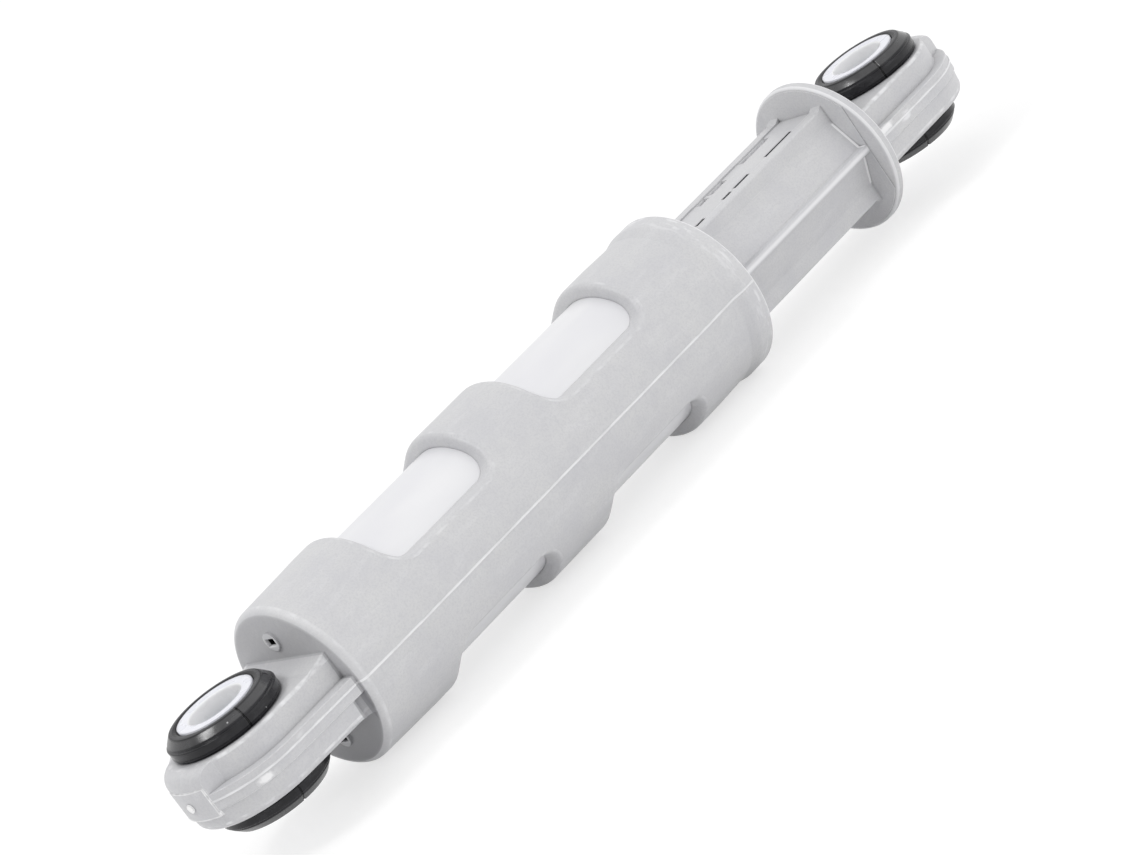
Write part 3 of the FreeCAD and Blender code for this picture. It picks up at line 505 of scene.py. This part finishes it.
def paint_vent_shade_and_rim_highlights(graph, base):
    """The two vents in the closed end: painted shade inside, with painted highlights on their rims, in
    slightly paler bosses.
    """
    side = graph.absolute(graph.y)
    level = graph.absolute(graph.compute("SUBTRACT", graph.absolute(graph.z), VENT_OFFSET))
    reach = graph.largest(graph.compute("SUBTRACT", level, VENT_HALF_HEIGHT),
                          graph.compute("SUBTRACT", side, VENT_HALF_WIDTH))
    # Painted shade inside the vents
    inside = graph.product(graph.fall(reach, *VENT_EDGE), graph.between(graph.x, *VENT_DEPTH, 0.15))
    base = graph.mix(inside, base, colour(22, 22, 24))
    radius = graph.distance(level, side)
    boss = graph.product(graph.fall(radius, *BOSS_RADIUS), graph.fall(graph.x, *BOSS_FACE), 0.5)
    base = graph.mix(boss, base, colour(232, 232, 234))
    # Painted highlights on the rims
    rim = graph.product(graph.fall(reach, *VENT_RIM), graph.fall(graph.x, *VENT_RIM_DEPTH), 0.6)
    return graph.mix(rim, base, colour(242, 242, 244))


def housing_plastic():
    """The housing's grey, with the painted highlights and painted shade on its barrel, tip, mouth and closed
    end.
    """
    marks = [paint_window_rim_highlights, paint_gate_pad_highlights, paint_mouth_highlights, paint_closed_end_shade_and_highlight, paint_vent_shade_and_rim_highlights]
    return moulded_grey("housing_plastic", (HOUSING_TIP, MOUTH), marks, HOUSING_HIGHLIGHT_SPOT)


def before_flange(graph):
    """1 on the rod, up to the flange's face."""
    return graph.fall(graph.x, *ROD_END)


def paint_side_rib_highlights(graph, base):
    """The rod's side ribs in an even grey, with a painted highlight along their middles."""
    rib = graph.product(graph.fade(graph.absolute(graph.y), *RIB_SIDE), before_flange(graph))
    base = graph.mix(graph.product(rib, 0.75), base, colour(204, 204, 207))
    # Painted highlight along the ribs' middles
    shine = graph.product(graph.fall(graph.absolute(graph.z), *RIB_SHINE), rib, 0.75)
    return graph.mix(shine, base, colour(244, 244, 246))


def paint_flange_highlights(graph, base):
    """A painted highlight on the welt on the flange's face beside the rod, and painted highlights on the
    edges of the flange's rim.
    """
    # Painted highlight on the welt
    beside_rod = graph.between(graph.absolute(graph.y), *WELT_SIDE, 0.2)
    welt = graph.product(graph.between(graph.x, *WELT_LENGTH, 0.12), beside_rod, 0.85)
    base = graph.mix(welt, base, colour(250, 250, 251))

    # Painted highlights on the edges of the rim
    from_middle = graph.absolute(graph.compute("SUBTRACT", graph.x, FLANGE_MIDDLE))
    outside = graph.fade(graph.vector("LENGTH", off_axis(graph)), *FLANGE_RADIUS)
    rim = graph.product(graph.between(from_middle, *FLANGE_EDGE, 0.15), outside, 0.65)
    return graph.mix(rim, base, colour(248, 248, 250))


def paint_slot_shade_and_light(graph, base):
    """The slots in the rod's top: one row with painted shade inside, and the other with broken painted
    light.
    """
    slot = graph.product(graph.between(graph.absolute(graph.y), *SLOT_SIDE, 0.06),
                         graph.between(graph.z, *SLOT_HEIGHT, 0.08), before_flange(graph))
    # Painted shade inside the near row of slots
    dark = graph.product(slot, graph.fall(graph.y, *BETWEEN_ROWS))
    base = graph.mix(dark, base, colour(86, 86, 90))
    # Broken painted light on the far row
    broken = graph.fade(graph.noise(0.9, detail=1.0), 0.4, 0.55, 0.4, 0.95)
    pale = graph.product(slot, graph.fade(graph.y, *BETWEEN_ROWS), broken)
    return graph.mix(pale, base, colour(228, 228, 230))


def plunger_plastic():
    """The plunger's grey, with the painted highlights and painted shade on its rod and flange, and a
    moulding line with a painted highlight on its eye.
    """
    line = (FAR_EYE - FAR_LINE_REACH, FAR_EYE + FAR_LINE_REACH)
    marks = [paint_side_rib_highlights, paint_flange_highlights, paint_slot_shade_and_light]
    return moulded_grey("plunger_plastic", line, marks, PLUNGER_HIGHLIGHT_SPOT)


def white_tube():
    """The liner's smooth white plastic, with clouds and fine marks drawn out along it."""
    graph = Graph("white_tube")
    clouds = graph.noise(12, stretch=(3, 1, 1))
    base = graph.mix(graph.fade(clouds, 0.35, 0.65), colour(227, 227, 230), colour(233, 233, 235))
    roughness = graph.fade(graph.noise(2, stretch=(10, 1, 1)), 0.3, 0.7, 0.28, 0.36)
    normal = graph.bump(graph.noise(1, stretch=(12, 1, 1)), 0.15, 0.01)
    return graph.finish(base, roughness, normal)


def speckle_rubber(graph, base):
    """A few pale specks: the middles of some cells of a scattered pattern."""
    cells = graph.cells(2.6)
    speck = graph.fall(cells["Distance"], 0.03, 0.1)
    number = graph.add("ShaderNodeSeparateColor", {0: cells["Color"]}).outputs[0]
    chosen = graph.fade(number, 0.72, 0.74)
    return graph.mix(graph.product(speck, chosen), base, colour(176, 176, 178))


def seam_cut(graph, spoke, seam):
    """1 along the thin, slightly wavy seam that runs out from the bore at the angle."""
    wave = graph.product(graph.compute("SUBTRACT", graph.noise(2), 0.5), 0.5)
    across = graph.vector("DOT_PRODUCT", spoke, (-math.sin(seam), math.cos(seam), 0))
    off_seam = graph.absolute(graph.compute("ADD", across, wave))
    ahead = graph.vector("DOT_PRODUCT", spoke, (math.cos(seam), math.sin(seam), 0))
    return graph.product(graph.fall(off_seam, *SEAM_LINE), graph.fade(ahead, 0.0, 1.0))


def black_rubber(name, middle, seam):
    """Moulded black rubber: cloudy, ringed and speckled, glossiest on the cone, with a painted highlight on
    the crest, painted shade at the lip beside the sleeve, and a thin dark seam.
    """
    graph = Graph(name)
    spoke = graph.vector("SUBTRACT", graph.place, middle / MM)
    radius = graph.vector("LENGTH", graph.vector("MULTIPLY", spoke, (1, 1, 0)))
    height = graph.absolute(graph.z)
    clouds = graph.noise(3.5, detail=3.0)
    rings = graph.noise(0.9, stretch=(5, 5, 1))
    seam_line = seam_cut(graph, spoke, seam)

    base = graph.mix(graph.fade(clouds, 0.35, 0.7), colour(30, 30, 33), colour(42, 42, 45))
    base = graph.mix(graph.fade(rings, 0.5, 0.75, 0.0, 0.25), base, colour(66, 66, 69))
    base = speckle_rubber(graph, base)
    # Painted highlight on the crest
    crest = graph.product(graph.between(radius, *CREST_RADIUS, 0.25),
                          graph.fade(height, *CREST_HEIGHT), 0.12)
    base = graph.mix(crest, base, colour(150, 150, 154))
    # Painted shade at the lip, beside the sleeve
    lip = graph.product(graph.fall(radius, *LIP_RADIUS), 0.8)
    base = graph.mix(lip, base, colour(12, 12, 13))
    base = graph.mix(seam_line, base, colour(14, 14, 15))

    normal = graph.bump(graph.noise(0.6, detail=3.0), 0.2, 0.04, graph.rounded(0.25))
    normal = graph.bump(rings, 0.3, 0.04, normal)
    normal = graph.bump(graph.compute("SUBTRACT", 1.0, seam_line), 1.0, 0.15, normal)
    roughness = graph.fade(clouds, 0.35, 0.65, 0.16, 0.3)
    off_crest = graph.fade(radius, *CONE_RADIUS)
    on_cone = graph.product(graph.fade(height, *CONE_HEIGHT), off_crest)
    sheen = graph.product(graph.fade(on_cone, 0.0, 1.0, 0.28, 1.0),
                          graph.fade(off_crest, 0.0, 1.0, 0.2, 1.0))
    return graph.finish(base, roughness, normal, specular=sheen)


def sleeve_plastic():
    """The sleeves' smooth white plastic, faintly blue outside, with painted light making it whiter in the
    bore and painted shade making it greyer deep inside.
    """
    graph = Graph("sleeve_plastic")
    clouds = graph.noise(5)
    base = graph.mix(graph.fade(clouds, 0.35, 0.65), colour(229, 230, 238), colour(235, 236, 242))
    from_near = graph.absolute(graph.compute("SUBTRACT", graph.x, NEAR_EYE))
    from_far = graph.absolute(graph.compute("SUBTRACT", graph.x, FAR_EYE))
    radius = graph.distance(graph.compute("MINIMUM", from_near, from_far), graph.y)
    # Painted light in the bore
    base = graph.mix(graph.fall(radius, *BORE_RADIUS), base, colour(252, 252, 253))
    # Painted shade deep inside the bore
    deep = graph.product(graph.fall(graph.absolute(graph.z), *BORE_DEPTH), 0.8)
    base = graph.mix(deep, base, colour(198, 202, 209))
    normal = graph.bump(graph.noise(0.6), 0.2, 0.01, graph.rounded(0.9))
    return graph.finish(base, graph.fade(clouds, 0.3, 0.7, 0.24, 0.34), normal)


def bush_plastic():
    """The guide bush's pale grey plastic."""
    graph = Graph("bush_plastic")
    clouds = graph.noise(5)
    base = graph.mix(graph.fade(clouds, 0.35, 0.65), colour(214, 215, 219), colour(222, 222, 226))
    normal = graph.bump(graph.noise(0.6), 0.2, 0.02, graph.rounded(0.2))
    return graph.finish(base, graph.fade(clouds, 0.3, 0.7, 0.4, 0.5), normal)


def foam_lining():
    """The friction linings' dark foam, open-celled and greased."""
    graph = Graph("foam_lining")
    walls = graph.cells(0.5)["Distance"]
    base = graph.mix(graph.fade(walls, 0.1, 0.6), colour(52, 50, 48), colour(108, 104, 98))
    return graph.finish(base, graph.fade(walls, 0.1, 0.6, 0.35, 0.7), graph.bump(walls, 0.8, 0.15))


def round_corners(corners):
    """The closed outline through the corners, each a place and a radius that rounds it."""
    outline = []
    for i, (x, y, radius) in enumerate(corners):
        here = Vector((x, y))
        if radius == 0:
            outline.append(here)
            continue
        before = (Vector(corners[i - 1][:2]) - here).normalized()
        after = (Vector(corners[(i + 1) % len(corners)][:2]) - here).normalized()
        half = before.angle(after) / 2
        centre = here + (before + after).normalized() * radius / math.sin(half)
        first = here + before * radius / math.tan(half) - centre
        last = here + after * radius / math.tan(half) - centre
        for k in range(CORNER_STEPS + 1):
            outline.append(centre + (first * (CORNER_STEPS - k) + last * k).normalized() * radius)
    return outline


def bush_section(bore, widest, top):
    """A rubber bush's closed section, its lower half a mirror image, as places from its axis and middle."""
    shoulder = top - SHOULDER_DROP
    band = top - BAND_DROP
    lip = [
        (bore, top - 0.6, 0.1),
        (bore + 0.35, top - 0.12, 0.2),
        (bore + 1.2, top, 0.5),
        (bore + 1.95, top - 0.04, 0.25)]
    cone_and_groove = [
        (widest - 0.6, shoulder, 0.25),
        (widest - 0.66, band + 0.2, 0.1)]
    waisted_band = [
        (widest - 0.1, band + 0.02, 0.22),
        (widest - 0.22, (band + BAND_FOOT) / 2, 3.0),
        (widest - 0.1, BAND_FOOT + 0.75, 0.4),
        (widest - 0.65, BAND_FOOT + 0.02, 0.3),
        (widest - 1.6, BAND_FOOT + 0.02, 0)]
    upper = lip + cone_and_groove + waisted_band
    lower = [(x, -z, radius) for x, z, radius in reversed(upper)]
    return round_corners(upper + lower)


def bush_point(point, angle, middle, seam, bore, shoulder):
    """One point of the section turned to the angle, with a little unevenness and the seam's shallow cut."""
    radius = point.x
    height = point.y
    if point.x > bore + PLAIN_LIP:
        uneven = sum(size * math.sin(count * angle + turn) for count, turn, size in UNEVEN_WAVES)
        wander = SEAM_WANDER * math.sin(SEAM_WANDER_PER_MM * point.y)
        off_seam = math.remainder(angle - seam, 2 * math.pi) * point.x + wander
        cut = SEAM_DEPTH * math.exp(-(off_seam / SEAM_HALF_WIDTH) ** 2)
        radius += uneven - cut
        if abs(point.y) > shoulder:
            height -= math.copysign(cut * SEAM_TOP_SHARE, point.y)
    return middle + Vector((radius * math.cos(angle), radius * math.sin(angle), height)) * MM


def add_rubber_bush(name, node, body, middle, seam, material):
    """A rubber bush turned about its bore: lip, cone, grooved shoulder and waisted band, above and below.

    The seam is a shallow cut down the outside of both ends, at the angle about the bore.
    """
    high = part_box(node)[1]
    sleeve_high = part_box(node.replace("rubber_bush", "sleeve"))[1]
    top = high.z / MM
    widest = (high.x - middle.x) / MM
    bore = (sleeve_high.x - middle.x) / MM + SLEEVE_CLEARANCE
    shoulder = top - SHOULDER_DROP
    section = bush_section(bore, widest, top)

    vertices = []
    faces = []
    count = len(section)
    for k in range(BUSH_SEGMENTS):
        angle = 2 * math.pi * k / BUSH_SEGMENTS
        following = (k + 1) % BUSH_SEGMENTS
        for i, point in enumerate(section):
            j = (i + 1) % count
            vertices.append(bush_point(point, angle, middle, seam, bore, shoulder))
            faces.append((k * count + i, following * count + i, following * count + j, k * count + j))
    mesh = bpy.data.meshes.new(name)
    mesh.from_pydata(vertices, [], faces)
    mesh.shade_smooth()
    mesh.update()
    mesh.materials.append(material)
    bush = bpy.data.objects.new(name, mesh)
    bpy.context.scene.collection.objects.link(bush)
    bush.modifiers.new("weighted_normals", "WEIGHTED_NORMAL")
    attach(bush, body)
    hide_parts(node)


def dress():
    """Gives every node its material, and adds the rubber bushes in place of the plain ones."""
    near_rubber = black_rubber("near_rubber", near_eye, NEAR_SEAM)
    far_rubber = black_rubber("far_rubber", far_eye, FAR_SEAM)
    foam = foam_lining()
    sleeve = sleeve_plastic()
    materials = {
        "housing": housing_plastic(),
        "liner_tube": white_tube(),
        "guide_bush": bush_plastic(),
        "plunger": plunger_plastic(),
        "friction_lining_inner": foam,
        "friction_lining_outer": foam,
        "housing_eye_sleeve": sleeve,
        "plunger_eye_sleeve": sleeve,
        "housing_eye_rubber_bush": near_rubber,
        "plunger_eye_rubber_bush": far_rubber}
    for name, node in frame["nodes"].items():
        node.data.materials.clear()
        node.data.materials.append(materials[name])
    add_rubber_bush("near_bush", "housing_eye_rubber_bush", "housing", near_eye, NEAR_SEAM, near_rubber)
    add_rubber_bush("far_bush", "plunger_eye_rubber_bush", "plunger", far_eye, FAR_SEAM, far_rubber)


def add_camera():
    """The camera at the photograph's place, turn and focal length."""
    azimuth = math.radians(CAMERA_AZIMUTH)
    elevation = math.radians(CAMERA_ELEVATION)
    back = Vector((math.sin(azimuth) * math.cos(elevation), -math.cos(azimuth) * math.cos(elevation),
                   math.sin(elevation)))
    data = bpy.data.cameras.new("camera")
    data.sensor_fit = "HORIZONTAL"
    data.sensor_width = SENSOR_WIDTH
    data.lens = FOCAL_LENGTH_PX / FRAME_SIZE[0] * SENSOR_WIDTH
    camera = bpy.data.objects.new("camera", data)
    bpy.context.scene.collection.objects.link(camera)
    upright = back.to_track_quat("Z", "Y").to_matrix()
    turned = upright @ Matrix.Rotation(math.radians(CAMERA_ROLL), 3, "Z")
    camera.matrix_world = Matrix.Translation(CAMERA_TARGET + back * CAMERA_DISTANCE) @ turned.to_4x4()
    bpy.context.scene.camera = camera


def add_floor():
    """A plain white floor under the damper. It keeps the shadow, and shows white where there is none."""
    half = FLOOR_REACH
    level = cad_box[0].z
    mesh = bpy.data.meshes.new("floor")
    corners = [(-half, -half, level), (half, -half, level), (half, half, level), (-half, half, level)]
    mesh.from_pydata(corners, [], [(0, 1, 2, 3)])
    floor = bpy.data.objects.new("floor", mesh)
    bpy.context.scene.collection.objects.link(floor)

    material = bpy.data.materials.new("floor")
    nodes = Nodes(material)
    matte = nodes.add("ShaderNodeBsdfDiffuse", {"Color": FLOOR_GREY}).outputs[0]
    shadow = nodes.add("ShaderNodeBsdfDiffuse", {"Color": SHADOW_GREY}).outputs[0]
    glow = nodes.add("ShaderNodeEmission", {"Color": WHITE, "Strength": FLOOR_GLOW}).outputs[0]
    lit = nodes.add("ShaderNodeAddShader", {0: shadow, 1: glow}).outputs[0]
    ray = nodes.add("ShaderNodeLightPath").outputs
    seen = nodes.largest(ray["Is Camera Ray"], ray["Is Glossy Ray"])
    surface = nodes.add("ShaderNodeMixShader", {0: seen, 1: matte, 2: lit}).outputs[0]
    nodes.add("ShaderNodeOutputMaterial", {"Surface": surface})
    mesh.materials.append(material)


def add_world():
    """A white surround that gives most of the light, less from the housing's end, and shows pure white."""
    world = bpy.data.worlds.new("surround")
    bpy.context.scene.world = world
    nodes = Nodes(world)
    direction = nodes.add("ShaderNodeTexCoord").outputs["Generated"]
    along = nodes.add("ShaderNodeSeparateXYZ", {0: direction}).outputs["X"]
    strength = nodes.fade(along, *SURROUND_RISE, *SURROUND_LIGHT)
    light = nodes.add("ShaderNodeBackground", {"Color": WHITE, "Strength": strength}).outputs[0]
    backdrop = nodes.add("ShaderNodeBackground", {"Color": WHITE, "Strength": 1.0}).outputs[0]
    seen = nodes.add("ShaderNodeLightPath").outputs["Is Camera Ray"]
    surface = nodes.add("ShaderNodeMixShader", {0: seen, 1: light, 2: backdrop}).outputs[0]
    nodes.add("ShaderNodeOutputWorld", {"Surface": surface})


def add_light(name, place, size, watts):
    """A soft square lamp, placed and sized in metres, that points at the damper's middle."""
    data = bpy.data.lights.new(name, "AREA")
    data.shape = "SQUARE"
    data.size = size
    data.energy = watts
    lamp = bpy.data.objects.new(name, data)
    bpy.context.scene.collection.objects.link(lamp)
    lamp.location = place
    lamp.rotation_euler = (CAMERA_TARGET - Vector(place)).to_track_quat("-Z", "Y").to_euler()


dress()
add_camera()
add_floor()
add_world()
add_light("top_lamp", place=(-0.5, 0.12, 0.95), size=0.3, watts=2.6)
add_light("side_lamp", place=(0.4, -1.2, 0.15), size=0.8, watts=2.4)
bpy.context.scene.view_settings.view_transform = "Standard"
